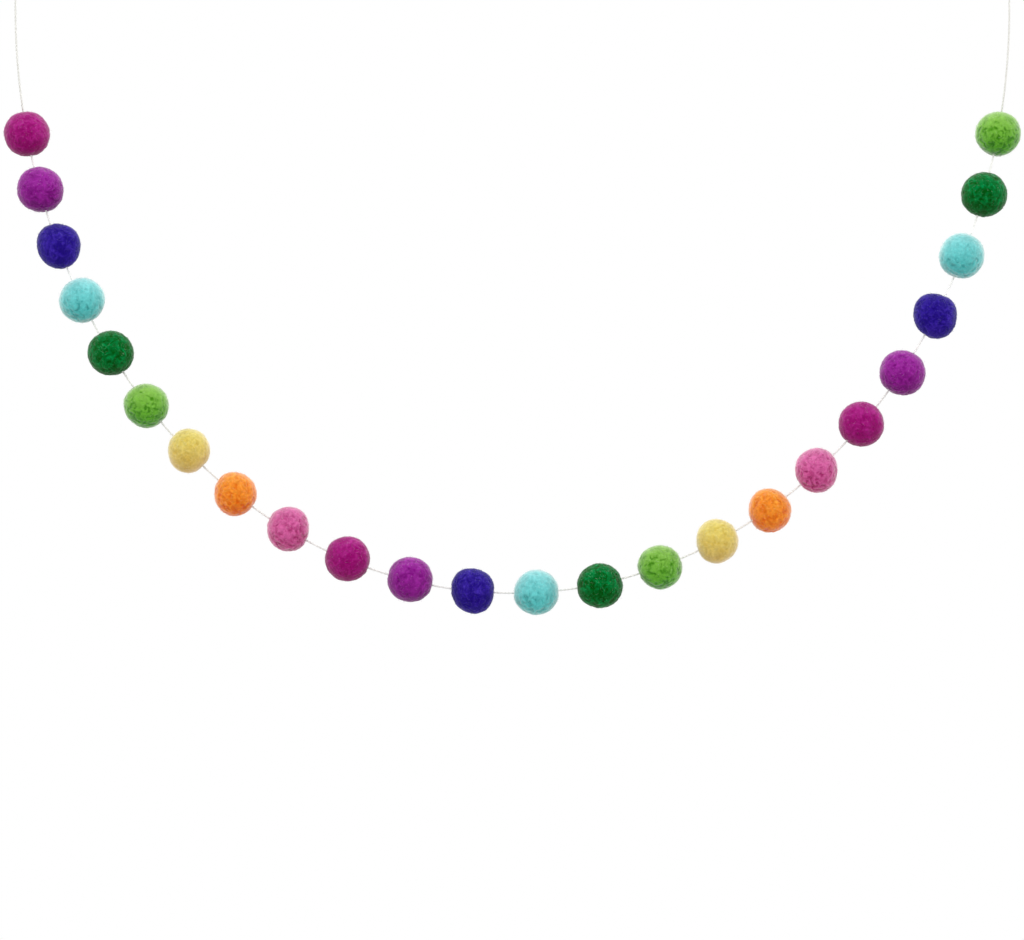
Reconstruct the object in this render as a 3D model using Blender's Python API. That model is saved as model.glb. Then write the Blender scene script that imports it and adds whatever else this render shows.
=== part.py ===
"""Felt ball garland: solid wool felt balls in nine colours, threaded on one cotton twine.

Blender 4.5, metres, +Z up. The garland hangs in the XZ plane and is seen from the front along +Y.
The twine hangs in one deep bend between two loops. The origin is the point where a hook carries the
left loop. Every ball is pierced by the twine, and the bore through it follows the twine's own bend.
"""

import math
import random
from collections import namedtuple

import bmesh
import bpy
from mathutils import Matrix, Vector

MM = 0.001

# Driving dimensions of the bend: half an ellipse with a short straight end above each side
HALF_SPAN = 276.1 * MM
BEND_DEPTH = 324.3 * MM
STRAIGHT_END = 26.0 * MM

# Twine, with 80 route points at most between the two knots
TWINE_RADIUS = 0.6 * MM
TWINE_ROUTE_STEPS = 78
TWINE_BEVEL_RESOLUTION = 2
BORE_RADIUS = TWINE_RADIUS + 0.35 * MM
BEND_SAMPLES = 4000

# Hanging loop and its knot, the same at both ends
LOOP_HEIGHT = 18.0 * MM
LOOP_WIDTH = 9.0 * MM
LOOP_STEPS = 18
LOOP_LEG_PLACE = 0.75 * MM
KNOT_HALF_WIDTH = 1.7 * MM
KNOT_HALF_DEPTH = 1.6 * MM
KNOT_HALF_HEIGHT = 2.4 * MM
WRAP_RING_RADIUS = 1.7 * MM
WRAP_TILTS_DEG = (24.0, -18.0)
WRAP_HEIGHTS = (0.8 * MM, -0.8 * MM)
KNOT_SIDES = 12
KNOT_RINGS = 8
WRAP_STEPS = 14
WRAP_SIDES = 8
FREE_END_DROP = 13.0 * MM
FREE_END_OUT = 3.2 * MM
FREE_END_LEAVES_AT = 0.35
FREE_END_STEPS = 7

# Balls. The side lump is the most that a ball's front or back stands out to one side.
BALL_SIDES = 18
BALL_RINGS = 12
SIDE_LUMP = 0.3 * MM

TWINE_COLOR = (236, 233, 222)
FELT_ROUGHNESS = 0.95
TWINE_ROUGHNESS = 0.85

# Felts: colour as seen, mean diameter, and how the front outline departs from a circle.
# Each pair is the height of two, three or four lobes in mm and the angle of the first in degrees,
# counted from +X towards +Z.
Felt = namedtuple("Felt", "color diameter_mm two_lobes three_lobes four_lobes")
FELTS = {
    "magenta": Felt((148, 39, 113), 25.1, (0.09, -38), (0.03, -6), (0.08, -38)),
    "purple": Felt((136, 46, 136), 25.3, (0.16, -31), (0.04, -43), (0.10, 34)),
    "indigo": Felt((48, 33, 129), 24.8, (0.46, -64), (0.21, 30), (0.17, 34)),
    "aqua": Felt((110, 192, 192), 25.1, (0.09, 35), (0.04, -45), (0.12, 18)),
    "green": Felt((24, 107, 52), 25.2, (0.20, -1), (0.05, -40), (0.03, -38)),
    "lime": Felt((114, 168, 70), 24.7, (0.15, -16), (0.11, 33), (0.02, -15)),
    "yellow": Felt((212, 191, 111), 24.0, (0.31, 85), (0.20, 9), (0.03, -43)),
    "orange": Felt((228, 146, 77), 24.0, (0.33, -76), (0.21, 5), (0.05, 40)),
    "pink": Felt((192, 94, 144), 24.3, (0.39, 88), (0.18, 53), (0.14, -42)),
}

# Balls from left to right. The step is measured along the twine from the ball before, and for the
# first from the left end of the bend. Outward is how far the ball's middle lies outside the bend.
Seat = namedtuple("Seat", "felt step_mm outward_mm")
SEATS = (
    Seat("magenta", 69.7, 0.0),
    Seat("purple", 31.8, -0.3),
    Seat("indigo", 32.9, -0.3),
    Seat("aqua", 33.0, -0.2),
    Seat("green", 33.4, 0.1),
    Seat("lime", 35.2, 0.6),
    Seat("yellow", 34.4, -0.6),
    Seat("orange", 35.3, 0.1),
    Seat("pink", 35.4, -0.6),
    Seat("magenta", 36.9, -0.5),
    Seat("purple", 36.8, -0.5),
    Seat("indigo", 35.4, -0.3),
    Seat("aqua", 35.4, 0.1),
    Seat("green", 35.5, 1.0),
    Seat("lime", 34.9, 0.3),
    Seat("yellow", 34.8, 0.0),
    Seat("orange", 33.8, 0.8),
    Seat("pink", 34.2, -0.2),
    Seat("magenta", 35.8, -0.3),
    Seat("purple", 36.6, 0.6),
    Seat("indigo", 36.5, -0.1),
    Seat("aqua", 36.4, -0.5),
    Seat("green", 36.3, 0.3),
    Seat("lime", 34.6, 0.1),
)

# Levels below the hooks
LOOP_TOP = TWINE_RADIUS
KNOT_LEVEL = LOOP_TOP - LOOP_HEIGHT
BEND_TOP = KNOT_LEVEL - STRAIGHT_END


def clear_scene():
    for obj in list(bpy.data.objects):
        bpy.data.objects.remove(obj, do_unlink=True)


def new_collection(name):
    collection = bpy.data.collections.new(name)
    bpy.context.scene.collection.children.link(collection)
    return collection


def linear(color):
    """An 8-bit sRGB colour as the linear colour that a shader takes."""
    shares = [channel / 255 for channel in color]
    return [s / 12.92 if s <= 0.04045 else ((s + 0.055) / 1.055) ** 2.4 for s in shares]


def cloth_material(name, color, roughness):
    material = bpy.data.materials.new(name)
    material.use_nodes = True
    shader = material.node_tree.nodes["Principled BSDF"]
    shader.inputs["Base Color"].default_value = (*linear(color), 1)
    shader.inputs["Roughness"].default_value = roughness
    shader.inputs["Metallic"].default_value = 0.0
    material.diffuse_color = (*linear(color), 1)
    return material


def bend_point(share):
    """The bend's centreline: share 0 is its left end and 1 its right end."""
    angle = math.pi * (1 - share)
    return Vector((
        HALF_SPAN * (1 + math.cos(angle)),
        0,
        BEND_TOP - BEND_DEPTH * math.sin(angle),
    ))


def twine_centreline():
    """Fine points of the twine from the left knot to the right one, with the length up to each."""
    points = [Vector((0, 0, KNOT_LEVEL))]
    points += [bend_point(i / BEND_SAMPLES) for i in range(BEND_SAMPLES + 1)]
    points.append(Vector((2 * HALF_SPAN, 0, KNOT_LEVEL)))
    lengths = [0.0]
    for before, after in zip(points, points[1:]):
        lengths.append(lengths[-1] + (after - before).length)
    return points, lengths


def along(centreline, length):
    """The point of the twine at that length from the left knot, and its direction there."""
    points, lengths = centreline
    low, high = 0, len(points) - 1
    while high - low > 1:
        middle = (low + high) // 2
        if lengths[middle] <= length:
            low = middle
        else:
            high = middle
    share = (length - lengths[low]) / (lengths[high] - lengths[low])
    return points[low].lerp(points[high], share), (points[high] - points[low]).normalized()


def tube(name, points, radius, collection):
    """A round tube along the points, as a closed mesh with its caps welded on."""
    data = bpy.data.curves.new(name, "CURVE")
    data.dimensions = "3D"
    data.bevel_depth = radius
    data.bevel_resolution = TWINE_BEVEL_RESOLUTION
    data.use_fill_caps = True
    spline = data.splines.new("POLY")
    spline.points.add(len(points) - 1)
    for spline_point, point in zip(spline.points, points):
        spline_point.co = (*point, 1)
    curve = bpy.data.objects.new(name + "_curve", data)
    collection.objects.link(curve)
    bpy.context.view_layer.update()
    graph = bpy.context.evaluated_depsgraph_get()
    mesh = bpy.data.meshes.new_from_object(curve.evaluated_get(graph))
    mesh.name = name
    obj = bpy.data.objects.new(name, mesh)
    obj.matrix_world = curve.matrix_world
    collection.objects.link(obj)
    bpy.data.objects.remove(curve, do_unlink=True)
    shape = bmesh.new()
    shape.from_mesh(mesh)
    bmesh.ops.remove_doubles(shape, verts=shape.verts, dist=0.01 * MM)
    bmesh.ops.recalc_face_normals(shape, faces=shape.faces)
    shape.to_mesh(mesh)
    shape.free()
    return obj


def hide_helper(obj):
    obj.hide_render = True
    obj.display_type = "WIRE"


def boolean(obj, operation, other):
    modifier = obj.modifiers.new(f"{operation.lower()} {other.name}", "BOOLEAN")
    modifier.operation = operation
    modifier.solver = "EXACT"
    modifier.object = other


def loop_points(hook_x):
    """The hanging loop: a teardrop whose two legs end side by side in the knot.

    Its side reach follows sin(u) * sin(u / 2), which is widest where cos(u) is -1/3, and it is
    close to u * u / 2 near the knot, where the legs start.
    """
    widest = math.acos(-1 / 3)
    reach = LOOP_WIDTH / 2 / (math.sin(widest) * math.sin(widest / 2))
    start = math.sqrt(2 * LOOP_LEG_PLACE / reach)
    points = []
    for i in range(LOOP_STEPS + 1):
        u = start + (2 * math.pi - 2 * start) * i / LOOP_STEPS
        side = reach * math.sin(u) * math.sin(u / 2)
        rise = LOOP_HEIGHT / 2 * (1 - math.cos(u))
        points.append(Vector((hook_x + side, 0, KNOT_LEVEL + rise)))
    return points


def free_end_points(hook_x, side):
    """The twine's short end, which leaves the knot at its side and hangs beside the twine."""
    points = []
    for i in range(FREE_END_STEPS + 1):
        share = i / FREE_END_STEPS
        out = FREE_END_OUT * math.sin(math.pi / 2 * min(1, FREE_END_LEAVES_AT + share))
        points.append(Vector((hook_x + side * out, 0, KNOT_LEVEL - FREE_END_DROP * share)))
    return points


def knot_core(name, hook_x, collection):
    mesh = bpy.data.meshes.new(name)
    shape = bmesh.new()
    size = Matrix.Diagonal((KNOT_HALF_WIDTH, KNOT_HALF_DEPTH, KNOT_HALF_HEIGHT, 1))
    bmesh.ops.create_uvsphere(
        shape, u_segments=KNOT_SIDES, v_segments=KNOT_RINGS, radius=1, matrix=size
    )
    shape.to_mesh(mesh)
    shape.free()
    obj = bpy.data.objects.new(name, mesh)
    obj.location = (hook_x, 0, KNOT_LEVEL)
    collection.objects.link(obj)
    return obj


def knot_wrap(name, hook_x, height, tilt_deg, collection):
    """One turn of twine round the knot, slanted to one side."""
    bpy.ops.mesh.primitive_torus_add(
        major_radius=WRAP_RING_RADIUS,
        minor_radius=TWINE_RADIUS,
        major_segments=WRAP_STEPS,
        minor_segments=WRAP_SIDES,
        location=(hook_x, 0, KNOT_LEVEL + height),
        rotation=(0, math.radians(tilt_deg), 0),
    )
    obj = bpy.context.object
    obj.name = name
    for holder in list(obj.users_collection):
        holder.objects.unlink(obj)
    collection.objects.link(obj)
    return obj


def end_pieces(end, hook_x, side, helpers):
    """The loop, knot and free end at one end of the twine."""
    pieces = [
        knot_core(f"{end}_knot_core", hook_x, helpers),
        tube(f"{end}_loop", loop_points(hook_x), TWINE_RADIUS, helpers),
        tube(f"{end}_free_end", free_end_points(hook_x, side), TWINE_RADIUS, helpers),
    ]
    for number, (tilt, height) in enumerate(zip(WRAP_TILTS_DEG, WRAP_HEIGHTS), start=1):
        pieces.append(knot_wrap(f"{end}_wrap_{number}", hook_x, height, side * tilt, helpers))
    return pieces


def make_twine(route, parts, helpers):
    twine = tube("twine", route, TWINE_RADIUS, parts)
    ends = end_pieces("left", 0, 1, helpers) + end_pieces("right", 2 * HALF_SPAN, -1, helpers)
    for piece in ends:
        hide_helper(piece)
        boolean(twine, "UNION", piece)
    twine.data.materials.append(cloth_material("cotton_twine", TWINE_COLOR, TWINE_ROUGHNESS))
    return twine


def ball_radius(felt, lump_angle, direction):
    """From a ball's middle to its surface. The lobes fade out towards the front and the back,
    where the ball's own side lump takes over, which leaves the front outline as it is."""
    around = math.atan2(direction.z, direction.x)
    rim = math.hypot(direction.x, direction.z)
    radius = felt.diameter_mm / 2 * MM
    for count, lobes in ((2, felt.two_lobes), (3, felt.three_lobes), (4, felt.four_lobes)):
        height_mm, angle_deg = lobes
        wave = math.cos(count * (around - math.radians(angle_deg)))
        radius += height_mm * MM * rim**count * wave
    share = 2 * direction.y * rim * math.cos(around - lump_angle)
    return radius + SIDE_LUMP * share


def make_ball(number, seat, centre, direction, bore, parts):
    felt = FELTS[seat.felt]
    tilt = math.atan2(direction.x, direction.z)
    turn = Matrix.Rotation(tilt, 3, "Y")
    lump_angle = random.Random(number).uniform(0, 2 * math.pi)
    name = f"ball_{number:02d}_{seat.felt}"
    mesh = bpy.data.meshes.new(name)
    shape = bmesh.new()
    bmesh.ops.create_uvsphere(shape, u_segments=BALL_SIDES, v_segments=BALL_RINGS, radius=1)
    for vert in shape.verts:
        vert.co *= ball_radius(felt, lump_angle, turn @ vert.co)
    shape.to_mesh(mesh)
    shape.free()
    mesh.shade_smooth()
    ball = bpy.data.objects.new(name, mesh)
    ball.location = centre
    ball.rotation_euler = (0, tilt, 0)
    parts.objects.link(ball)
    boolean(ball, "DIFFERENCE", bore)
    return ball


def make_balls(centreline, bore, parts):
    felts = {
        name: cloth_material(f"{name}_felt", felt.color, FELT_ROUGHNESS)
        for name, felt in FELTS.items()
    }
    balls = []
    length = STRAIGHT_END
    for number, seat in enumerate(SEATS, start=1):
        length += seat.step_mm * MM
        point, direction = along(centreline, length)
        outward = Vector((direction.z, 0, -direction.x))
        centre = point + outward * seat.outward_mm * MM
        ball = make_ball(number, seat, centre, direction, bore, parts)
        ball.data.materials.append(felts[seat.felt])
        balls.append(ball)
    return balls


def main():
    clear_scene()
    parts = new_collection("felt_ball_garland")
    helpers = new_collection("helpers")
    hanger = bpy.data.objects.new("garland", None)
    parts.objects.link(hanger)
    centreline = twine_centreline()
    twine_length = centreline[1][-1]
    route = [
        along(centreline, twine_length * i / TWINE_ROUTE_STEPS)[0]
        for i in range(TWINE_ROUTE_STEPS + 1)
    ]
    bore = tube("twine_bore", route, BORE_RADIUS, helpers)
    hide_helper(bore)
    twine = make_twine(route, parts, helpers)
    for piece in [twine, *make_balls(centreline, bore, parts)]:
        piece.parent = hanger


main()
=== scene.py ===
"""The looks of the felt ball garland: matted wool balls with a short fuzz, on a two-ply cotton twine.

Blender 4.5, metres, +Z up. The garland hangs in the XZ plane and the camera looks along +Y.
Each solid ball gives its middle, and the felt's surface, its fibres and the twist of the twine are
made around it here.
"""

import math
import random
from collections import namedtuple

import bmesh
import bpy
import numpy as np
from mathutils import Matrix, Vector


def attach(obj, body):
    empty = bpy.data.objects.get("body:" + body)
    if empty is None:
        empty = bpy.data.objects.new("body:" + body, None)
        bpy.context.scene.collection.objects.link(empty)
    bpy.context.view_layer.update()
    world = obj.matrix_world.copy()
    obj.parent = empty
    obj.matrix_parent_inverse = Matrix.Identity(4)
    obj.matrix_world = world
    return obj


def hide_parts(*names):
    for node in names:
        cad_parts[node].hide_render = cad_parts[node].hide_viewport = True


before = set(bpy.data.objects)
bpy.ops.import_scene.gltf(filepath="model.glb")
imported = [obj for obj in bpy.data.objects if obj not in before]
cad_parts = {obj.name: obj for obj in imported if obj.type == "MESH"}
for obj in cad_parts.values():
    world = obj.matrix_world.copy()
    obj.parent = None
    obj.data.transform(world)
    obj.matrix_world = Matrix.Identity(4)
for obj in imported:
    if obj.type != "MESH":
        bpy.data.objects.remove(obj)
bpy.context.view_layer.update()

MM = 0.001

# Twine route, as in the solids: half an ellipse with a short straight end above each side
HALF_SPAN = 276.1 * MM
BEND_DEPTH = 324.3 * MM
STRAIGHT_END = 26.0 * MM
TWINE_RADIUS = 0.6 * MM
LOOP_HEIGHT = 18.0 * MM
KNOT_LEVEL = TWINE_RADIUS - LOOP_HEIGHT
BEND_TOP = KNOT_LEVEL - STRAIGHT_END
ROUTE_STEPS = 240
ENTRY_STEP = 0.2 * MM

# Two plies twisted together, finer on the loops and knots, and with fewer steps inside the balls
PLY_LAY = 4.1 * MM
PLY_RADIUS = 0.37 * MM
PLY_SIDES = 6
PLY_STEP = 0.42 * MM
HIDDEN_STEPS = 5
FINE_PLY_SIDES = 8
FINE_PLY_STEP = 0.26 * MM

# How much thicker and thinner a ply gets and over what length, and how unevenly the two are wound
TWINE_SEED = 77
PLY_SEED = 5
PLY_UNEVEN = 0.09
PLY_UNEVEN_MM = 1.7
LAY_UNEVEN = 0.25
LAY_UNEVEN_PLACES = 40

# The hanging loop is a teardrop down to where its two legs begin, side by side
LOOP_WIDTH = 9.0 * MM
LOOP_LEG_PLACE = 0.75 * MM
LOOP_LEGS_BEGIN = 3.0 * MM
LOOP_POINTS = 60

# The turns round each knot start narrow and widen to their reach, and are less deep than wide
KNOT_TURNS = 2.3
KNOT_TOP = 1.35 * MM
KNOT_FALL = 2.8 * MM
KNOT_REACH = 1.85 * MM
KNOT_NARROW = 0.3
KNOT_WIDENS = 6
KNOT_DEPTH = 0.85
KNOT_SLANT = 0.22
KNOT_END = 0.97
KNOT_POINTS = 120

# The free end that leaves a knot
FREE_END_DROP = 13.0 * MM
FREE_END_OUT = 3.2 * MM
FREE_END_LEAVES_AT = 0.35
FREE_END_FROM = 0.25
FREE_END_POINTS = 24

# Hairs on the twine: how far they lean out of it and curl, and how the two free ends are frayed.
# The last two say at which of a free end's points its straight tip and the fraying start.
HAIR_SEED = 5
HAIRS_PER_MM = 1.5
HAIR_LENGTH_MM = (0.7, 2.3)
HAIR_RADIUS_MM = (0.011, 0.020)
HAIR_POINTS = 4
HAIR_ROOT = 0.8
HAIR_LEAN = (0.2, 0.9)
HAIR_CURL = 0.35
FRAY_HAIRS = 34
FRAY_SPREAD = 0.35
FRAY_WIDTH = 0.25
TIP_STARTS_AT = -5
FRAY_STARTS_AT = -3

# The twine's colours, each from its darkest to its lightest. It is greyer at its ends, which is
# painted shade, and whiter between the topmost balls, which is painted light against the shade of
# the balls, from these levels up. Each change takes a short length.
PLAIN_TWINE = ((0.68, 0.67, 0.645), (0.78, 0.77, 0.745))
PAINTED_LIGHT_TWINE = ((0.84, 0.83, 0.80), (0.94, 0.93, 0.90))
PAINTED_SHADE_TWINE = ((0.58, 0.575, 0.54), (0.68, 0.675, 0.64))
TWINE_HAIR = ((0.66, 0.65, 0.60), (0.82, 0.81, 0.76))
PAINTED_LIGHT_FROM = -245 * MM
PAINTED_LIGHT_FADE = 30 * MM
PAINTED_SHADE_FROM = -104 * MM
PAINTED_SHADE_FADE = 4 * MM

# Cotton strands that wind along each ply: how many a mm, and how high against the fine grain
STRANDS_PER_MM = 1.4
STRAND_HEIGHT = 0.35
TWINE_MOTTLE_MM = 2.5
TWINE_GRAIN_MM = 0.2
HAIR_MOTTLE_MM = 0.5
TWINE_BUMP = 0.08 * MM

# Ball surface
SPHERE_SUBDIVISIONS = 6
SIDE_LUMP = 0.3 * MM
ENTRY_DIMPLE_DEPTH = 0.7 * MM
ENTRY_DIMPLE_WIDTH = 1.7 * MM

# Forms in the felt: their size in mm, what they add to its height, and how much they change its
# tone, which is painted shade and highlight: lighter where the felt rises, darker in its creases.
# The heights of puffs, curls and creases are shares of the felt's ridge_mm.
Forms = namedtuple("Forms", "swell puffs curls creases grain")
FORM_MM = Forms(swell=7.0, puffs=2.5, curls=3.8, creases=3.4, grain=1.1)
FORM_HEIGHT = Forms(swell=0.15, puffs=0.35, curls=0.35, creases=0.8, grain=0.07)
FORM_PAINTED_SHADE = Forms(swell=0.18, puffs=0.30, curls=0.22, creases=0.42, grain=0.10)
MIDDLE_TONE = 0.55
CURL_WIDTH = 0.15
CREASE_WIDTH = 0.18

# How far and over what size the curls, creases and pits are bent out of shape, in mm
BEND_BY = 1.5
BEND_SIZE = 3.0

# Patches where creases are deeper and carry more painted shade, or where curls are paler with a
# painted highlight
CREASED_PATCH_MM = 5.0
PALER_PATCH_MM = 4.5
PATCH_CONTRAST = 1.2

# What paler curls add to the tone as a painted highlight, and what the rest gives up for them
STROKE_PAINTED_HIGHLIGHT = 0.5
STROKE_MIDDLE = 0.2
STROKE_PUFFS = 0.12

# Pits open where their noise passes a level, which the felt's share of pits brings down, and
# which rises towards the top of a ball
PIT_MM = 2.3
PIT_LEVEL = 0.55
PIT_LEVEL_FALL = 0.75
PIT_LEVEL_RISE = 0.5
PIT_SLOPE = 0.36
# How much painted shade darkens the felt in its pits
PIT_PAINTED_SHADE = 0.55

# Fibres on each ball: long ones felted into its surface, and short loose ones. curl is how much
# they turn at each step, and lint how pale the palest of a kind get. Their tone is drawn at random.
FibreKind = namedtuple("FibreKind", "count points thin_mm thick_mm step_mm curl lint")
LYING_FIBRES = FibreKind(170, 7, 0.015, 0.034, (0.40, 0.80), 0.36, 0.6)
LOOSE_FIBRES = FibreKind(1080, 4, 0.012, 0.026, (0.28, 0.75), 0.32, 1.6)
FIBRE_SIDES = 3
FIBRE_TONE = (0.40, 1.0)

# Loose fibres rise from under the surface in an arch, by a gamma-distributed height. Lying ones
# stay in the surface, by shares of their thickness, and end below it.
ROOT_DEPTH = 0.06 * MM
RISE_SHAPE = 2.4
RISE_MM = 0.15
ARCH = 0.5
LYING_HEIGHT = (-0.4, 0.5)
LYING_END_DEPTH = 3

# The colour of lint and how much of it a pale fibre takes, how far fibres gather towards the top
# of a ball and how much paler they get there, which is painted sheen from above, and the tufts in
# which the pale ones lie
LINT = (0.84, 0.82, 0.77)
LINT_SHARE = 0.55
TOP_LEAN = 0.25
TOP_PAINTED_SHEEN = 0.9
TUFT_MM = 1.8
TUFT_CONTRAST = 3.0

# Felts: mean diameter and outline as in the solids. Each group of lobes has a height in mm and an
# angle in degrees.
Felt = namedtuple("Felt", "diameter_mm two_lobes three_lobes four_lobes")
FELTS = {
    "magenta": Felt(25.1, (0.09, -38), (0.03, -6), (0.08, -38)),
    "purple": Felt(25.3, (0.16, -31), (0.04, -43), (0.10, 34)),
    "indigo": Felt(24.8, (0.46, -64), (0.21, 30), (0.17, 34)),
    "aqua": Felt(25.1, (0.09, 35), (0.04, -45), (0.12, 18)),
    "green": Felt(25.2, (0.20, -1), (0.05, -40), (0.03, -38)),
    "lime": Felt(24.7, (0.15, -16), (0.11, 33), (0.02, -15)),
    "yellow": Felt(24.0, (0.31, 85), (0.20, 9), (0.03, -43)),
    "orange": Felt(24.0, (0.33, -76), (0.21, 5), (0.05, 40)),
    "pink": Felt(24.3, (0.39, 88), (0.18, 53), (0.14, -42)),
}

# Looks of each felt. low and top are its 8-bit colours at the bottom and the top of a ball, and the
# change between them is painted light from above and painted shade below. A pit is deeper in
# colour than they are and a ridge paler, as painted shade in the pits and a painted highlight on
# the ridges: the pit and ridge tints are what each channel is multiplied by there, and span holds
# the tones at which these are reached. ridge_mm is the height of its curly ridges, strokes how much
# paler, as a painted highlight, some of them are, and creases how dark the painted shade in the
# creases between them is. pit_mm is the depth of its pits, pits is how many there are from 0 to 1,
# and lower how much more of them, and of creases, the underside has, which darkens it further with
# painted shade. pale is how pale its fibres are, sheen how much light its short fuzz catches at the
# rim, and veil how far in from the rim that reaches.
Look = namedtuple(
    "Look", "low top pit ridge span ridge_mm strokes creases pit_mm pits lower pale sheen veil"
)
LOOKS = {
    "magenta": Look(
        (107, 1, 71), (126, 17, 92), (1.00, 0.35, 0.95), (1.45, 2.90, 1.65), (0.3, 1.0),
        0.28, 0.5, 0.7, 0.16, 0.15, 0.1, 0.24, 0.42, 0.38,
    ),
    "purple": Look(
        (128, 1, 126), (163, 30, 164), (0.50, 0.05, 0.50), (0.90, 1.90, 0.90), (0.0, 0.8),
        0.28, 0.3, 1.0, 0.18, 0.20, 0.1, 0.26, 0.50, 0.38,
    ),
    "indigo": Look(
        (16, 4, 91), (20, 9, 95), (0.95, 0.70, 1.00), (3.10, 3.70, 1.85), (0.3, 1.0),
        0.30, 0.5, 0.7, 0.16, 0.18, 0.0, 0.15, 0.27, 0.38,
    ),
    "aqua": Look(
        (32, 163, 160), (110, 189, 191), (0.36, 0.64, 0.64), (1.12, 1.02, 1.02), (0.0, 0.7),
        0.13, 0.0, 0.3, 0.15, 0.32, 1.0, 0.52, 1.00, 0.48,
    ),
    "green": Look(
        (0, 62, 10), (0, 76, 21), (0.00, 0.72, 0.30), (4.00, 2.10, 3.80), (0.1, 1.0),
        0.30, 0.9, 1.0, 0.20, 0.38, 0.1, 0.34, 0.32, 0.38,
    ),
    "lime": Look(
        (72, 158, 0), (139, 187, 70), (0.24, 0.45, 0.00), (0.90, 0.90, 1.15), (0.0, 0.6),
        0.16, 0.0, 0.9, 0.20, 0.48, 0.7, 0.42, 0.95, 0.40,
    ),
    "yellow": Look(
        (217, 186, 91), (224, 213, 101), (0.72, 0.63, 0.43), (0.85, 0.85, 1.05), (0.0, 0.9),
        0.19, 0.3, 1.0, 0.12, 0.18, 0.2, 0.55, 1.00, 0.43,
    ),
    "orange": Look(
        (243, 121, 5), (238, 142, 20), (0.66, 0.40, 0.00), (0.90, 1.12, 3.20), (0.0, 0.9),
        0.27, 0.3, 1.0, 0.16, 0.30, 0.4, 0.55, 0.95, 0.38,
    ),
    "pink": Look(
        (200, 47, 127), (207, 70, 147), (0.50, 0.24, 0.42), (0.90, 1.60, 1.05), (0.0, 0.7),
        0.26, 0.3, 1.0, 0.22, 0.38, 0.5, 0.50, 0.80, 0.43,
    ),
}

# Single fibres in the felt's colour and bump: the size of their curls in mm and their height, how
# wide they are, and how much they take of the pit's colour between them, as painted shade, and of
# the ridge's on them, as a painted highlight.
# They lie where a noise from 0 to 1 has its middle value.
STRAND_LAYERS = ((0.62, 0.55), (0.76, 0.70), (0.93, 0.85), (1.10, 1.00), (1.35, 0.75), (1.60, 0.90))
STRAND_WIDTH = 0.05
STRAND_PAINTED_SHADE = 0.35
STRAND_PAINTED_HIGHLIGHT = 0.8
NOISE_MIDDLE = 0.5

# Soft mottling of felt and fibres: its size in mm, and the greys that the colour is multiplied by
FELT_MOTTLE_MM = 1.7
FIBRE_MOTTLE_MM = 0.5
MOTTLE_SPAN = (0.35, 0.65)
MOTTLE_GREYS = (0.88, 1.10)

# The felt's bump, and how much higher its mottling is in it than its single fibres
FELT_BUMP = 0.045 * MM
PUFF_BUMP = 7.0
BUMP_STRENGTH = 0.6
SHEEN_TINT = (1.0, 0.99, 0.96)

# The fibres' own colour goes from darker to lighter than the felt's
DARKER_FIBRE = 0.85
LIGHTER_FIBRE = 1.35
LIGHTER_LIFT = 0.02

# Camera: the frame is 1024 pixels of this size wide at the garland, and looks straight at it. The
# garland's left end lies at LEFT_END_PIXEL, and PHOTO_TOP is the level of the frame's top edge.
PIXEL = 0.5556 * MM
FRAME_WIDTH = 1024
LEFT_END_PIXEL = 15.46
PHOTO_TOP = BEND_TOP + 5.16 * MM
FRAME_CENTRE_X = 512
FRAME_CENTRE_Y = 470
LENS = 100.0
SENSOR = 36.0

# Studio: soft round lights that all face the garland's middle, and a floor that fades to white
# between two distances from its middle
Light = namedtuple("Light", "name place size power")
LIGHTS = (
    Light("top_light", (HALF_SPAN, -1.1, 1.1), 1.6, 20.0),
    Light("back_light", (HALF_SPAN, 0.8, 0.8), 1.0, 5.0),
    Light("left_light", (HALF_SPAN - 3.0, 0.5, -0.2), 2.5, 25.0),
    Light("right_light", (HALF_SPAN + 3.0, 0.5, -0.2), 2.5, 25.0),
)
LIT_MIDDLE = (HALF_SPAN, 0, BEND_TOP - BEND_DEPTH / 2)
FLOOR_LEVEL = -0.75
FLOOR_RADIUS = 2.5
FLOOR_SIDES = 96
FLOOR_COLOR = (0.70, 0.70, 0.70)
FLOOR_FADE = (0.35, 1.05)
WHITE = (1, 1, 1)

# Smooth noise: its table of directions, and the numbers that scatter places over the table
NOISE_TABLE = 4096
NOISE_SEED = 11
NOISE_PRIMES = np.array([73856093, 19349663, 83492791])
NOISE_SEED_PRIME = 2654435761
NOISE_SHIFT = 13
NOISE_GAIN = 1.7

# Every ball has a stretch of the noise in mm, and seeds, of its own
BALL_STRETCH = 40
BALL_SEEDS = 10


def unit(vectors):
    return vectors / np.linalg.norm(vectors, axis=-1, keepdims=True)


NOISE_GRADIENTS = unit(np.random.default_rng(NOISE_SEED).normal(size=(NOISE_TABLE, 3)))


def noise(points, seed):
    """Smooth 3-D noise from about -1 to 1, with one feature to each unit of length."""
    cell = np.floor(points).astype(np.int64)
    inside = points - cell
    fade = inside**3 * (inside * (inside * 6 - 15) + 10)
    total = np.zeros(len(points))
    for number in range(8):
        corner = np.array([number & 1, number >> 1 & 1, number >> 2 & 1])
        place = ((cell + corner) * NOISE_PRIMES).sum(axis=1) + seed * NOISE_SEED_PRIME
        gradient = NOISE_GRADIENTS[(place ^ place >> NOISE_SHIFT) % NOISE_TABLE]
        weight = np.prod(np.where(corner, fade, 1 - fade), axis=1)
        total += weight * (gradient * (inside - corner)).sum(axis=1)
    return total * NOISE_GAIN


def noise_vectors(points, seed):
    return np.stack([noise(points, seed + i) for i in range(3)], axis=1)


def noise_line(points, seed, width):
    """1 along the curly lines where the noise passes 0, and 0 away from them."""
    return np.exp(-((noise(points, seed) / width) ** 2))


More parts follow.
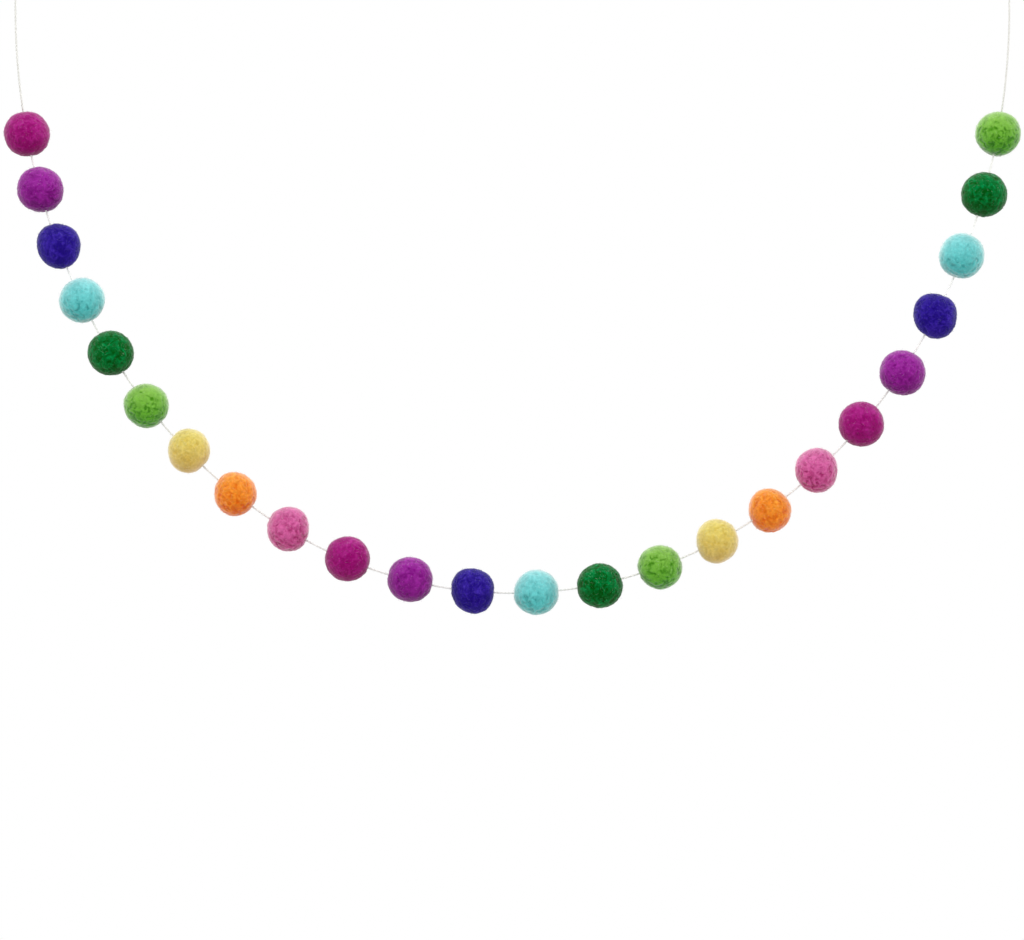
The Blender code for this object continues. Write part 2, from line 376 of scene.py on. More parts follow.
def noise_patches(points, seed, less=0.0):
    """Soft patches from 0 to 1, with fewer where less is above 0."""
    return np.clip(0.5 + PATCH_CONTRAST * noise(points, seed) - less, 0, 1)


# The twine's route

def bend_point(share):
    """The bend's centreline: share 0 is its left end and 1 its right end."""
    angle = math.pi * (1 - share)
    x = HALF_SPAN * (1 + math.cos(angle))
    return (x, 0.0, BEND_TOP - BEND_DEPTH * math.sin(angle))


def even_points(points, step):
    """The same line with points about a step apart."""
    points = np.array(points, float)
    lengths = np.concatenate([[0], np.cumsum(np.linalg.norm(np.diff(points, axis=0), axis=1))])
    places = np.linspace(0, lengths[-1], max(2, round(lengths[-1] / step)) + 1)
    return np.stack([np.interp(places, lengths, points[:, k]) for k in range(3)], axis=1)


def twine_route():
    bend = [bend_point(i / ROUTE_STEPS) for i in range(ROUTE_STEPS + 1)]
    return [(0.0, 0.0, KNOT_LEVEL), *bend, (2 * HALF_SPAN, 0.0, KNOT_LEVEL)]


def line_length(points):
    return float(np.linalg.norm(np.diff(np.array(points), axis=0), axis=1).sum())


# Meshes from arrays

def mesh_object(name, points, triangles, material):
    mesh = bpy.data.meshes.new(name)
    mesh.vertices.add(len(points))
    mesh.vertices.foreach_set("co", np.asarray(points, np.float32).ravel())
    mesh.loops.add(3 * len(triangles))
    mesh.loops.foreach_set("vertex_index", np.asarray(triangles, np.int32).ravel())
    mesh.polygons.add(len(triangles))
    mesh.polygons.foreach_set("loop_start", np.arange(0, 3 * len(triangles), 3, dtype=np.int32))
    mesh.update(calc_edges=True)
    mesh.shade_smooth()
    mesh.materials.append(material)
    obj = bpy.data.objects.new(name, mesh)
    bpy.context.scene.collection.objects.link(obj)
    return obj


def point_attribute(obj, name, values):
    attribute = obj.data.attributes.new(name, "FLOAT", "POINT")
    attribute.data.foreach_set("value", np.asarray(values, np.float32))


def closed_tubes(paths, radii, sides, outward):
    """Round tubes with pointed ends along paths of the same number of points.

    paths is (tubes, points, 3), radii is (tubes, points), and outward gives each point's side
    that faces away from what the tube lies on. It returns points, triangles and each point's tube.
    """
    tubes, count, _ = paths.shape
    tangents = unit(paths[:, 2:] - paths[:, :-2])
    inner, outward = paths[:, 1:-1], outward[:, 1:-1]
    across = unit(np.cross(tangents, outward))
    up = np.cross(across, tangents)
    rings = []
    for side in range(sides):
        angle = 2 * math.pi * side / sides
        offset = math.cos(angle) * up + math.sin(angle) * across
        rings.append(inner + offset * radii[:, 1:-1, None])
    rings = np.stack(rings, axis=2)
    size = 2 + (count - 2) * sides
    points = np.concatenate(
        [paths[:, :1], rings.reshape(tubes, -1, 3), paths[:, -1:]], axis=1
    ).reshape(-1, 3)
    last = size - 1
    final = 1 + (count - 3) * sides
    faces = []
    for side in range(sides):
        after = (side + 1) % sides
        faces.append((0, 1 + side, 1 + after))
        faces.append((last, final + after, final + side))
        for ring in range(count - 3):
            here, there = 1 + ring * sides, 1 + (ring + 1) * sides
            faces.append((here + side, there + side, there + after))
            faces.append((here + side, there + after, here + after))
    faces = np.array(faces)
    triangles = (faces[None] + size * np.arange(tubes)[:, None, None]).reshape(-1, 3)
    return points, triangles, np.repeat(np.arange(tubes), size)


def joined(parts):
    """Meshes joined into one. Each part is its points, its triangles, and values for its points."""
    starts = np.cumsum([0] + [len(part[0]) for part in parts])
    points, triangles, *values = zip(*parts)
    triangles = [faces + start for faces, start in zip(triangles, starts)]
    return [np.concatenate(column) for column in (points, triangles, *values)]


# The balls

Ball = namedtuple("Ball", "number felt centre lump_angle entries")


def volume_centre(obj):
    """The middle of a closed mesh's volume."""
    mesh = obj.data
    mesh.calc_loop_triangles()
    points = np.array([v.co for v in mesh.vertices])
    corners = points[np.array([t.vertices for t in mesh.loop_triangles])]
    base = points.mean(axis=0)
    a, b, c = (corners[:, i] - base for i in range(3))
    volumes = np.einsum("ij,ij->i", a, np.cross(b, c))
    return base + ((a + b + c) / 4 * volumes[:, None]).sum(axis=0) / volumes.sum()


def twine_entries(centre, radius, route):
    """The directions from a ball's middle in which the twine goes in and out of it."""
    offsets = route - centre
    distances = np.linalg.norm(offsets, axis=1)
    inside = np.flatnonzero(distances < radius)
    return unit(offsets[[inside[0], inside[-1]]])


def ball_radius_mm(felt):
    return FELTS[felt].diameter_mm / 2


def smooth_radius(ball, directions):
    """From the ball's middle to the felt's smooth form, the same form as the solid's."""
    felt = FELTS[ball.felt]
    around = np.arctan2(directions[:, 2], directions[:, 0])
    rim = np.hypot(directions[:, 0], directions[:, 2])
    radius = np.full(len(directions), ball_radius_mm(ball.felt) * MM)
    for count, lobes in ((2, felt.two_lobes), (3, felt.three_lobes), (4, felt.four_lobes)):
        height_mm, angle_deg = lobes
        radius += height_mm * MM * rim**count * np.cos(count * (around - math.radians(angle_deg)))
    share = 2 * directions[:, 1] * rim * np.cos(around - ball.lump_angle)
    return radius + SIDE_LUMP * share


def felt_surface(ball, directions):
    """The felt's radius in each direction, and its painted shade there: 0 in a pit and 1 on a ridge.
    """
    look = LOOKS[ball.felt]
    ball_mm = ball_radius_mm(ball.felt)
    place = directions * ball_mm + BALL_STRETCH * ball.number
    seed = BALL_SEEDS * ball.number
    fewer_above = look.lower * directions[:, 2]
    # Each noise below has its own seed, counted from the ball's first
    bent = place + BEND_BY * noise_vectors(place / BEND_SIZE, seed + 1)
    swell = noise(place / FORM_MM.swell, seed)
    puffs = noise(bent / FORM_MM.puffs, seed + 5)
    curls = noise_line(bent / FORM_MM.curls, seed + 9, CURL_WIDTH)
    creases = noise_line(bent / FORM_MM.creases, seed + 4, CREASE_WIDTH)
    creases = creases * noise_patches(place / CREASED_PATCH_MM, seed + 7, fewer_above)
    grain = noise(bent / FORM_MM.grain, seed + 8)
    level = PIT_LEVEL - PIT_LEVEL_FALL * look.pits + PIT_LEVEL_RISE * fewer_above
    pits = np.clip((noise(bent / PIT_MM, seed + 6) - level) / PIT_SLOPE, 0, 1)
    paler = look.strokes * noise_patches(place / PALER_PATCH_MM, seed + 12)

    height = FORM_HEIGHT.puffs * puffs + FORM_HEIGHT.curls * curls - FORM_HEIGHT.creases * creases
    height = look.ridge_mm * height + FORM_HEIGHT.swell * swell + FORM_HEIGHT.grain * grain
    height -= look.pit_mm * pits

    # The tone is painted shade and highlight that follows the forms: lighter where the felt rises and
    # on paler curls, darker in its creases and pits
    puff_tone = FORM_PAINTED_SHADE.puffs - STROKE_PUFFS * look.strokes
    shade_and_tone = MIDDLE_TONE - STROKE_MIDDLE * look.strokes + puff_tone * puffs
    shade_and_tone += (FORM_PAINTED_SHADE.curls + STROKE_PAINTED_HIGHLIGHT * paler) * curls
    shade_and_tone += FORM_PAINTED_SHADE.grain * grain + FORM_PAINTED_SHADE.swell * swell
    shade_and_tone -= FORM_PAINTED_SHADE.creases * look.creases * creases + PIT_PAINTED_SHADE * pits

    radius = smooth_radius(ball, directions) + height * MM
    for entry in ball.entries:
        away = np.linalg.norm(directions - entry, axis=1) * ball_mm * MM
        radius -= ENTRY_DIMPLE_DEPTH * np.exp(-((away / ENTRY_DIMPLE_WIDTH) ** 2))
    return radius, np.clip(shade_and_tone, 0, 1)


def sphere_template():
    shape = bmesh.new()
    bmesh.ops.create_icosphere(shape, subdivisions=SPHERE_SUBDIVISIONS, radius=1)
    directions = unit(np.array([v.co for v in shape.verts]))
    triangles = np.array([[v.index for v in f.verts] for f in shape.faces])
    shape.free()
    return directions, triangles


def make_ball_surface(ball, sphere, material):
    directions, triangles = sphere
    radius, shade_and_tone = felt_surface(ball, directions)
    points = ball.centre + directions * radius[:, None]
    obj = mesh_object(f"felt_{ball.number:02d}_{ball.felt}", points, triangles, material)
    # The tone carries the painted shade and highlight to the felt's colour; on fibres it is their
    # random tone
    point_attribute(obj, "shade_and_tone", shade_and_tone)
    # How high each point is, from 0 at the bottom to 1 at the top, which the felt's colour follows as
    # painted light from above
    point_attribute(obj, "up", 0.5 + 0.5 * directions[:, 2])
    return obj


def fibre_walk(ball, rng, kind, heights):
    """Curly paths over the felt, each point raised above it by its height."""
    directions = unit(rng.normal(size=(kind.count, 3)) + (0, 0, TOP_LEAN))
    heading = unit(np.cross(directions, rng.normal(size=(kind.count, 3))))
    turn = rng.normal(size=kind.count) * kind.curl
    step = rng.uniform(*kind.step_mm, (kind.count, 1)) / ball_radius_mm(ball.felt)
    paths, outward = [], []
    for k in range(kind.points):
        surface = felt_surface(ball, directions)[0]
        paths.append(ball.centre + directions * (surface + heights[:, k])[:, None])
        outward.append(directions)
        directions = unit(directions + heading * step)
        heading = unit(heading - directions * (heading * directions).sum(axis=1, keepdims=True))
        side = np.cross(directions, heading)
        bend = turn + rng.normal(size=kind.count) * kind.curl / 2
        heading = unit(heading + side * bend[:, None])
    return np.stack(paths, axis=1), np.stack(outward, axis=1)


def fibre_heights(kind, rng, thickness):
    """How far above the felt each point of each fibre is."""
    if kind is LYING_FIBRES:
        heights = rng.uniform(*LYING_HEIGHT, (kind.count, kind.points)) * thickness
        heights[:, [0, -1]] = -LYING_END_DEPTH * thickness
        return heights
    along = np.linspace(0, 1, kind.points)
    rise = rng.gamma(RISE_SHAPE, RISE_MM, (kind.count, 1)) * MM
    arch = rng.uniform(0, 1, (kind.count, 1)) * np.sin(math.pi * along)
    return rise * (along + ARCH * arch) - ROOT_DEPTH


def make_fuzz(ball, rng, material):
    """Fibres felted into the ball's surface, and loose ones that stand off it."""
    parts = []
    for kind in (LYING_FIBRES, LOOSE_FIBRES):
        thickness = rng.uniform(kind.thin_mm, kind.thick_mm, (kind.count, 1)) * MM
        heights = fibre_heights(kind, rng, thickness)
        paths, outward = fibre_walk(ball, rng, kind, heights)
        radii = np.repeat(thickness, kind.points, axis=1)
        points, triangles, owner = closed_tubes(paths, radii, FIBRE_SIDES, outward)
        shade_and_tone = rng.uniform(*FIBRE_TONE, kind.count)
        roots = outward[:, 0]
        # Fibres higher on the ball are paler, a painted sheen from above
        lint = kind.lint * LOOKS[ball.felt].pale * (1 + TOP_PAINTED_SHEEN * roots[:, 2])
        tuft_place = roots * ball_radius_mm(ball.felt) / TUFT_MM + BALL_STRETCH * ball.number
        tufts = noise(tuft_place, BALL_SEEDS * ball.number + 15)
        lint *= np.clip(1 + TUFT_CONTRAST * tufts, 0, TUFT_CONTRAST)
        pale = np.clip(rng.uniform(0, 1, kind.count) * lint, 0, 1)
        parts.append((points, triangles, shade_and_tone[owner], pale[owner]))
    points, triangles, shade_and_tone, pale = joined(parts)
    obj = mesh_object(f"fuzz_{ball.number:02d}_{ball.felt}", points, triangles, material)
    point_attribute(obj, "shade_and_tone", shade_and_tone)
    point_attribute(obj, "pale", pale)
    return obj


def find_balls(route):
    """Every ball, from the solids' middles and the places where the twine meets them."""
    balls = []
    for name in sorted(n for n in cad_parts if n.startswith("ball_")):
        _, number, felt = name.split("_")
        centre = volume_centre(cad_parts[name])
        balls.append(Ball(
            number=int(number),
            felt=felt,
            centre=centre,
            lump_angle=random.Random(int(number)).uniform(0, 2 * math.pi),
            entries=twine_entries(centre, ball_radius_mm(felt) * MM, route),
        ))
    return balls


def make_balls(balls, felt_materials, fibre_materials):
    sphere = sphere_template()
    for ball in balls:
        surface = make_ball_surface(ball, sphere, felt_materials[ball.felt])
        fuzz = make_fuzz(ball, np.random.default_rng(ball.number), fibre_materials[ball.felt])
        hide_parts(f"ball_{ball.number:02d}_{ball.felt}")
        for piece in (surface, fuzz):
            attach(piece, "root")


# The twine

def side_vectors(points):
    """Two directions across a line at each of its points, which don't spin along it."""
    tangents = unit(np.gradient(points, axis=0))
    across = np.zeros_like(points)
    across[0] = unit(np.cross(tangents[0], (0.0, 1.0, 0.0)))
    for i in range(1, len(points)):
        moved = across[i - 1] - tangents[i] * (across[i - 1] @ tangents[i])
        across[i] = unit(moved)
    return tangents, across, np.cross(tangents, across)


def shown_points(points, balls):
    """True for each point that lies outside the balls or just inside their surface."""
    shown = np.ones(len(points), bool)
    for ball in balls:
        deep = ball_radius_mm(ball.felt) * MM - 2 * ENTRY_DIMPLE_DEPTH
        shown &= np.linalg.norm(points - ball.centre, axis=1) > deep
    return shown


def twisted_pair(points, sides, rng):
    """Two plies twisted round a line, as closed tubes. It returns points, triangles, and for each
    point how far along the twine it is, in mm, and how far round its ply, in turns."""
    _, across, up = side_vectors(points)
    place = np.concatenate([[0], np.cumsum(np.linalg.norm(np.diff(points, axis=0), axis=1))])
    drift = np.cumsum(rng.normal(size=LAY_UNEVEN_PLACES)) * LAY_UNEVEN
    wander = np.interp(place, np.linspace(0, place[-1], LAY_UNEVEN_PLACES), drift)
    uneven_place = np.stack([place / PLY_UNEVEN_MM / MM, place * 0, place * 0], axis=1)
    parts = []
    for ply in range(2):
        angle = 2 * math.pi * place / PLY_LAY + wander + math.pi * ply
        swell = 1 + PLY_UNEVEN * noise(uneven_place, PLY_SEED + ply)
        out = np.cos(angle)[:, None] * across + np.sin(angle)[:, None] * up
        middle = points + (TWINE_RADIUS - PLY_RADIUS) * out
        tube, faces, _ = closed_tubes(middle[None], (PLY_RADIUS * swell)[None], sides, out[None])
        inner = np.repeat(place[1:-1], sides)
        along = np.concatenate([[0], inner, place[-1:]]) / MM
        turn = np.tile(np.arange(sides) / sides, len(place) - 2)
        around = np.concatenate([[0], turn, [0]])
        parts.append((tube, faces, along, around))
    return joined(parts)


def twine_object(name, lines, sides, material, rng):
    """One mesh of twisted twine along each of the lines."""
    points, triangles, along, around = joined([twisted_pair(line, sides, rng) for line in lines])
    obj = mesh_object(name, points, triangles, material)
    point_attribute(obj, "along_mm", along)
    point_attribute(obj, "around", around)
    return obj


def rounded(points, step, rounds=12):
    """A line with its corners rounded."""
    points = even_points(points, step)
    for _ in range(rounds):
        points[1:-1] = (points[:-2] + 2 * points[1:-1] + points[2:]) / 4
    return points


def loop_line(hook_x):
    """The hanging loop, the same teardrop as in the solids, with both its legs in the knot."""
    # The teardrop's half width is sin(u) sin(u / 2), which is largest where cos(u) is -1/3
    widest = math.acos(-1 / 3)
    reach = LOOP_WIDTH / 2 / (math.sin(widest) * math.sin(widest / 2))
    start = math.acos(1 - 2 * LOOP_LEGS_BEGIN / LOOP_HEIGHT)
    leg = (LOOP_LEG_PLACE, -LOOP_LEG_PLACE / 2)
    line = [(hook_x - leg[0], -leg[1], KNOT_LEVEL + z) for z in (-KNOT_TOP, KNOT_TOP)]
    for u in np.linspace(2 * math.pi - start, start, LOOP_POINTS):
        side = reach * math.sin(u) * math.sin(u / 2)
        line.append((hook_x + side, 0, KNOT_LEVEL + LOOP_HEIGHT / 2 * (1 - math.cos(u))))
    line += [(hook_x + leg[0], leg[1], KNOT_LEVEL + z) for z in (KNOT_TOP, -KNOT_TOP)]
    return rounded(line, FINE_PLY_STEP)


def tail_line(hook_x, side):
    """The turns round the knot, slanted to one side, and the free end that leaves them."""
    line = []
    for share in np.linspace(0, KNOT_END, KNOT_POINTS):
        angle = 2 * math.pi * KNOT_TURNS * (share - 1)
        reach = KNOT_REACH * min(1, KNOT_NARROW + KNOT_WIDENS * share)
        x = reach * math.cos(angle)
        z = KNOT_TOP - KNOT_FALL * share - KNOT_SLANT * x
        line.append((hook_x + side * x, KNOT_DEPTH * reach * math.sin(angle), KNOT_LEVEL + z))
    for share in np.linspace(FREE_END_FROM, 1, FREE_END_POINTS):
        out = FREE_END_OUT * math.sin(math.pi / 2 * min(1, FREE_END_LEAVES_AT + share))
        line.append((hook_x + side * out, 0, KNOT_LEVEL - FREE_END_DROP * share))
    return rounded(line, FINE_PLY_STEP)


def hair_mesh(starts, headings, rng):
    """Short curly hairs, as points and triangles."""
    count = len(starts)
    step = rng.uniform(*HAIR_LENGTH_MM, (count, 1)) * MM / (HAIR_POINTS - 1)
    paths = [starts]
    for _ in range(HAIR_POINTS - 1):
        paths.append(paths[-1] + headings * step)
        headings = unit(headings + HAIR_CURL * rng.normal(size=(count, 3)))
    radii = np.repeat(rng.uniform(*HAIR_RADIUS_MM, (count, 1)) * MM, HAIR_POINTS, axis=1)
    paths = np.stack(paths, axis=1)
    outward = unit(rng.normal(size=paths.shape))
    return closed_tubes(paths, radii, FIBRE_SIDES, outward)[:2]


def make_hairs(lines, tails, material):
    """Hairs that stand off the twine, and the frayed tips of its two free ends."""
    rng = np.random.default_rng(HAIR_SEED)
    parts = []
    for line in lines:
        tangents, across, up = side_vectors(line)
        count = round(HAIRS_PER_MM * len(line) * line_length(line[:2]) / MM)
        chosen = rng.integers(1, len(line) - 1, count)
        angle = rng.uniform(0, 2 * math.pi, (count, 1))
        out = np.cos(angle) * across[chosen] + np.sin(angle) * up[chosen]
        along = tangents[chosen] * rng.choice([-1, 1], (count, 1))
        headings = unit(along + rng.uniform(*HAIR_LEAN, (count, 1)) * out)
        parts.append(hair_mesh(line[chosen] + HAIR_ROOT * TWINE_RADIUS * out, headings, rng))
    for tail in tails:
        spread = rng.normal(size=(FRAY_HAIRS, 3))
        headings = unit(unit(tail[-1] - tail[TIP_STARTS_AT]) + FRAY_SPREAD * spread)
        starts = tail[FRAY_STARTS_AT] + FRAY_WIDTH * TWINE_RADIUS * spread
        parts.append(hair_mesh(starts, headings, rng))
    return mesh_object("twine_hairs", *joined(parts), material)


def make_twine(route, balls, material, hair_material):
    rng = np.random.default_rng(TWINE_SEED)
    line = even_points(route, PLY_STEP)
    shown = shown_points(line, balls)
    kept = shown | (np.arange(len(line)) % HIDDEN_STEPS == 0)
    twine = twine_object("twisted_twine", [line[kept]], PLY_SIDES, material, rng)
    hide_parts("twine")
    ends, loops, tails = [], [], []
    for end, hook_x, side in (("left", 0.0, 1), ("right", 2 * HALF_SPAN, -1)):
        loops.append(loop_line(hook_x))
        tails.append(tail_line(hook_x, side))
        lines = [loops[-1], tails[-1]]
        ends.append(twine_object(f"{end}_loop_and_knot", lines, FINE_PLY_SIDES, material, rng))
    stretches = np.split(line, np.flatnonzero(np.diff(shown)) + 1)
    bare = [part for part in stretches[::2] if len(part) > 2]
    hairs = make_hairs([*bare, *loops, *tails], tails, hair_material)
    for piece in (twine, *ends, hairs):
        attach(piece, "root")


# Materials

def new_material(name):
    """A material, its nodes and links, its shader, and the place on the object."""
    material = bpy.data.materials.new(name)
    material.use_nodes = True
    nodes = material.node_tree.nodes
    place = nodes.new("ShaderNodeTexCoord").outputs["Object"]
    return material, nodes, material.node_tree.links, nodes["Principled BSDF"], place


def set_inputs(node, **values):
    """Sets fixed values on a node. An underscore in a name stands for a space."""
    for name, value in values.items():
        node.inputs[name.replace("_", " ")].default_value = value


def opaque(color):
    return (*color, 1)


def give(links, socket, value):
    """Links a value to a socket if it is a socket itself, and sets it if it is fixed."""
    if hasattr(value, "links"):
        links.new(value, socket)
    else:
        socket.default_value = value


def attribute_value(nodes, name):
    node = nodes.new("ShaderNodeAttribute")
    node.attribute_name = name
    return node.outputs["Fac"]


def noise_value(nodes, links, vector, size_mm, detail):
    node = nodes.new("ShaderNodeTexNoise")
    set_inputs(node, Scale=1 / (size_mm * MM), Detail=detail)
    links.new(vector, node.inputs["Vector"])
    return node.outputs["Fac"]


def color_mix(nodes, links, factor, low, high, blend="MIX"):
    """A colour mix whose ends are sockets or fixed colours. Sockets 6 and 7 are its two colours."""
    node = nodes.new("ShaderNodeMix")
    node.data_type = "RGBA"
    node.blend_type = blend
    for number, value in ((0, factor), (6, low), (7, high)):
        give(links, node.inputs[number], value)
    return node.outputs[2]


def multiplied(nodes, links, color, by):
    return color_mix(nodes, links, 1.0, color, by, "MULTIPLY")


def map_range(nodes, links, value, low, high, to_low=0.0, to_high=1.0):
    node = nodes.new("ShaderNodeMapRange")
    links.new(value, node.inputs["Value"])
    set_inputs(node, From_Min=low, From_Max=high, To_Min=to_low, To_Max=to_high)
    return node.outputs["Result"]


def math_node(nodes, links, operation, *values):
    node = nodes.new("ShaderNodeMath")
    node.operation = operation
    for socket, value in zip(node.inputs, values):
        give(links, socket, value)
    return node.outputs[0]


def add_bump(nodes, links, shader, height, distance):
    bump = nodes.new("ShaderNodeBump")
    set_inputs(bump, Strength=BUMP_STRENGTH, Distance=distance)
    links.new(height, bump.inputs["Height"])
    links.new(bump.outputs["Normal"], shader.inputs["Normal"])


def linear(color):
    """An 8-bit sRGB colour as the linear colour that a shader takes."""
    shares = [channel / 255 for channel in color]
    return [s / 12.92 if s <= 0.04045 else ((s + 0.055) / 1.055) ** 2.4 for s in shares]


def shade(color, factor, lift=0.0):
    return opaque(min(1.0, channel * factor + lift) for channel in color)


def toned(tint, share):
    """White at share 0 and the tint at share 1."""
    return opaque(1 + share * (channel - 1) for channel in tint)


def mottled(nodes, links, color, mottle):
    """The colour made a little darker and lighter in soft spots."""
    light = map_range(nodes, links, mottle, *MOTTLE_SPAN)
    greys = color_mix(nodes, links, light, *(opaque([grey] * 3) for grey in MOTTLE_GREYS))
    return multiplied(nodes, links, color, greys)


def strand_layer(nodes, links, vector, size_mm, height):
    """Thin lines that wander like single fibres: height along their middle and 0 off them."""
    field = noise_value(nodes, links, vector, size_mm, detail=1)
    offset = math_node(nodes, links, "SUBTRACT", field, NOISE_MIDDLE)
    away = math_node(nodes, links, "ABSOLUTE", offset)
    return map_range(nodes, links, away, 0.0, STRAND_WIDTH, height, 0.0)


def felt_material(name, look):
    material, nodes, links, shader, place = new_material(f"{name}_felt")
    strands = 0.0
    for size_mm, height in STRAND_LAYERS:
        layer = strand_layer(nodes, links, place, size_mm, height)
        strands = math_node(nodes, links, "MAXIMUM", strands, layer)
    # From the low colour at the bottom to the top colour at the top: painted light from above
    up = attribute_value(nodes, "up")
    body = color_mix(nodes, links, up, opaque(linear(look.low)), opaque(linear(look.top)))
    # Painted shade in the pits and creases and a painted highlight on the ridges, following the tone
    share = map_range(nodes, links, attribute_value(nodes, "shade_and_tone"), *look.span)
    relief_shade = color_mix(nodes, links, share, opaque(look.pit), opaque(look.ridge))
    body = multiplied(nodes, links, body, relief_shade)
    mottle = noise_value(nodes, links, place, FELT_MOTTLE_MM, detail=3)
    body = mottled(nodes, links, body, mottle)
    # Painted shade between the single fibres and a painted highlight along them
    deep, strand_highlight = toned(look.pit, STRAND_PAINTED_SHADE), toned(look.ridge, STRAND_PAINTED_HIGHLIGHT)
    body = multiplied(nodes, links, body, color_mix(nodes, links, strands, deep, strand_highlight))
    links.new(body, shader.inputs["Base Color"])
    height = math_node(nodes, links, "MULTIPLY_ADD", mottle, PUFF_BUMP, strands)
    add_bump(nodes, links, shader, height, FELT_BUMP)
    set_inputs(shader, Roughness=0.95, Specular_IOR_Level=0.0)
    set_inputs(shader, Sheen_Weight=look.sheen, Sheen_Roughness=look.veil)
    set_inputs(shader, Sheen_Tint=opaque(SHEEN_TINT))
    return material


def fibre_material(name, look):
    """The fibres' own finish: the felt's colour, each fibre a little lighter or darker."""
    material, nodes, links, shader, place = new_material(f"{name}_fibre")
    color = [(low + top) / 2 for low, top in zip(linear(look.low), linear(look.top))]
    darker, lighter = shade(color, DARKER_FIBRE), shade(color, LIGHTER_FIBRE, LIGHTER_LIFT)
    body = color_mix(nodes, links, attribute_value(nodes, "shade_and_tone"), darker, lighter)
    lint = [own + LINT_SHARE * (wool - own) for own, wool in zip(color, LINT)]
    # Pale fibres mix towards lint, and those higher on the ball more, as painted sheen from above
    body = color_mix(nodes, links, attribute_value(nodes, "pale"), body, opaque(lint))
    mottle = noise_value(nodes, links, place, FIBRE_MOTTLE_MM, detail=2)
    links.new(mottled(nodes, links, body, mottle), shader.inputs["Base Color"])
    set_inputs(shader, Roughness=0.9, Specular_IOR_Level=0.1)
    return material


def cotton_colors(nodes, links, mottle, colors):
    return color_mix(nodes, links, mottle, *(opaque(color) for color in colors))


def twine_material():
    material, nodes, links, shader, place = new_material("cotton_twine")
    mottle = noise_value(nodes, links, place, TWINE_MOTTLE_MM, detail=3)
    parts = nodes.new("ShaderNodeSeparateXYZ")
    links.new(place, parts.inputs[0])
    color = cotton_colors(nodes, links, mottle, PLAIN_TWINE)
    # Painted light between the topmost balls, then painted shade on the ends above them
    for colors, start, fade in (
        (PAINTED_LIGHT_TWINE, PAINTED_LIGHT_FROM, PAINTED_LIGHT_FADE),
        (PAINTED_SHADE_TWINE, PAINTED_SHADE_FROM, PAINTED_SHADE_FADE),
    ):
        share = map_range(nodes, links, parts.outputs["Z"], start, start + fade)
        color = color_mix(nodes, links, share, color, cotton_colors(nodes, links, mottle, colors))
    links.new(color, shader.inputs["Base Color"])
    along, around = attribute_value(nodes, "along_mm"), attribute_value(nodes, "around")
    turns = math_node(nodes, links, "MULTIPLY_ADD", along, STRANDS_PER_MM, around)
    angle = math_node(nodes, links, "MULTIPLY", turns, 2 * math.pi)
    wave = math_node(nodes, links, "SINE", angle)
    grain = noise_value(nodes, links, place, TWINE_GRAIN_MM, detail=3)
    height = math_node(nodes, links, "MULTIPLY_ADD", wave, STRAND_HEIGHT, grain)
    add_bump(nodes, links, shader, height, TWINE_BUMP)
    set_inputs(shader, Roughness=0.85, Specular_IOR_Level=0.25, Sheen_Weight=0.2)
    return material


def hair_material():
    material, nodes, links, shader, place = new_material("twine_hair")
    mottle = noise_value(nodes, links, place, HAIR_MOTTLE_MM, detail=2)
    links.new(cotton_colors(nodes, links, mottle, TWINE_HAIR), shader.inputs["Base Color"])
    set_inputs(shader, Roughness=0.8)
    return material


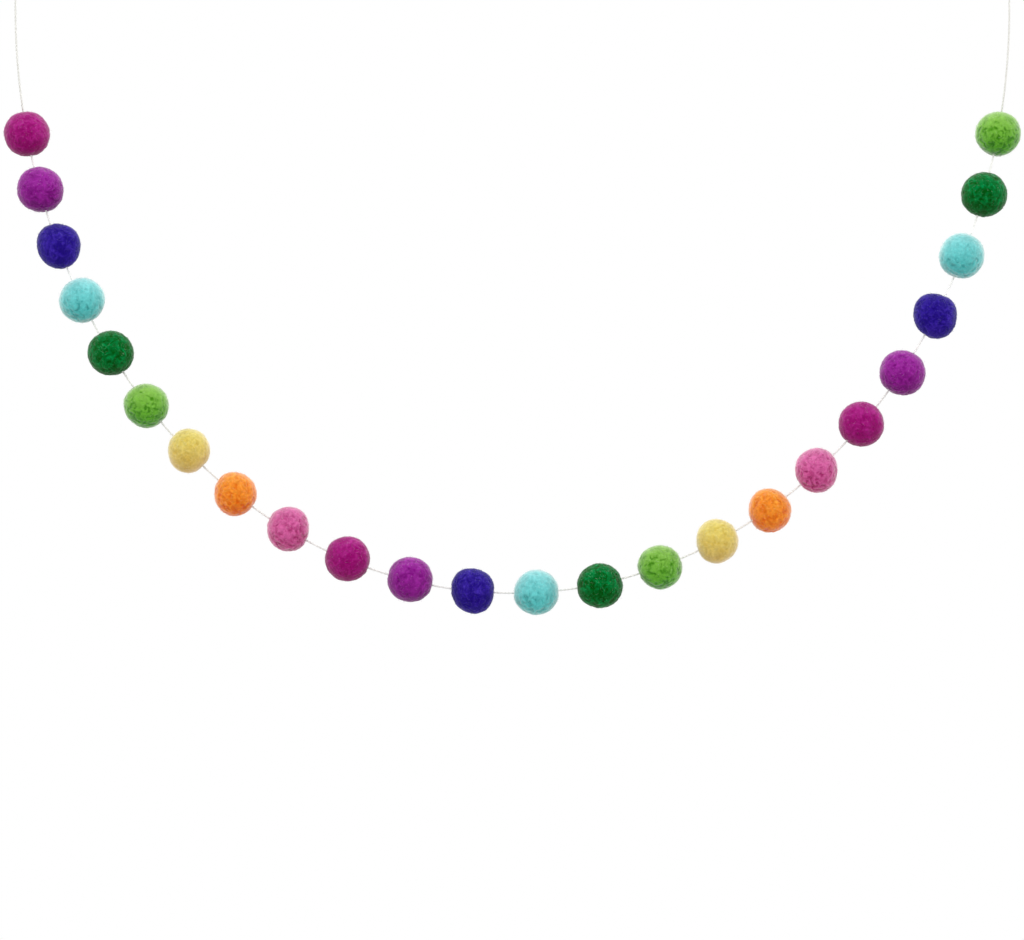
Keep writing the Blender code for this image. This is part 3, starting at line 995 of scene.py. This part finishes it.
def floor_material():
    """A pale matt floor that fades to the white of the studio's walls away from the object."""
    material, nodes, links, shader, place = new_material("studio_floor")
    set_inputs(shader, Base_Color=opaque(FLOOR_COLOR), Roughness=0.9)
    far = nodes.new("ShaderNodeVectorMath")
    far.operation = "LENGTH"
    links.new(place, far.inputs[0])
    wall = nodes.new("ShaderNodeEmission")
    set_inputs(wall, Color=opaque(WHITE))
    mix = nodes.new("ShaderNodeMixShader")
    links.new(map_range(nodes, links, far.outputs["Value"], *FLOOR_FADE), mix.inputs[0])
    links.new(shader.outputs["BSDF"], mix.inputs[1])
    links.new(wall.outputs["Emission"], mix.inputs[2])
    links.new(mix.outputs["Shader"], nodes["Material Output"].inputs["Surface"])
    return material


# The studio

def make_world():
    world = bpy.data.worlds.new("studio")
    bpy.context.scene.world = world
    world.use_nodes = True
    set_inputs(world.node_tree.nodes["Background"], Color=opaque(WHITE), Strength=1.0)


def make_light(light):
    data = bpy.data.lights.new(light.name, "AREA")
    data.shape = "DISK"
    data.size = light.size
    data.energy = light.power
    obj = bpy.data.objects.new(light.name, data)
    obj.location = light.place
    direction = Vector(np.subtract(LIT_MIDDLE, light.place))
    obj.rotation_euler = direction.to_track_quat("-Z", "Y").to_euler()
    obj.visible_camera = False
    bpy.context.scene.collection.objects.link(obj)


def make_floor():
    mesh = bpy.data.meshes.new("floor")
    shape = bmesh.new()
    bmesh.ops.create_circle(shape, cap_ends=True, segments=FLOOR_SIDES, radius=FLOOR_RADIUS)
    shape.to_mesh(mesh)
    shape.free()
    floor = bpy.data.objects.new("floor", mesh)
    floor.location = (HALF_SPAN, 0, FLOOR_LEVEL)
    floor.data.materials.append(floor_material())
    bpy.context.scene.collection.objects.link(floor)


def make_camera():
    data = bpy.data.cameras.new("camera")
    data.lens = LENS
    data.sensor_width = SENSOR
    camera = bpy.data.objects.new("camera", data)
    distance = FRAME_WIDTH * PIXEL * LENS / SENSOR
    x = (FRAME_CENTRE_X - LEFT_END_PIXEL) * PIXEL
    z = PHOTO_TOP - FRAME_CENTRE_Y * PIXEL
    camera.location = (x, -distance, z)
    camera.rotation_euler = (math.pi / 2, 0, 0)
    bpy.context.scene.collection.objects.link(camera)
    bpy.context.scene.camera = camera


def main():
    bpy.context.scene.view_settings.view_transform = "Standard"
    make_camera()
    route = twine_route()
    balls = find_balls(even_points(route, ENTRY_STEP))
    make_twine(route, balls, twine_material(), hair_material())
    felt_materials = {name: felt_material(name, look) for name, look in LOOKS.items()}
    fibre_materials = {name: fibre_material(name, look) for name, look in LOOKS.items()}
    make_balls(balls, felt_materials, fibre_materials)
    make_world()
    for light in LIGHTS:
        make_light(light)
    make_floor()


main()
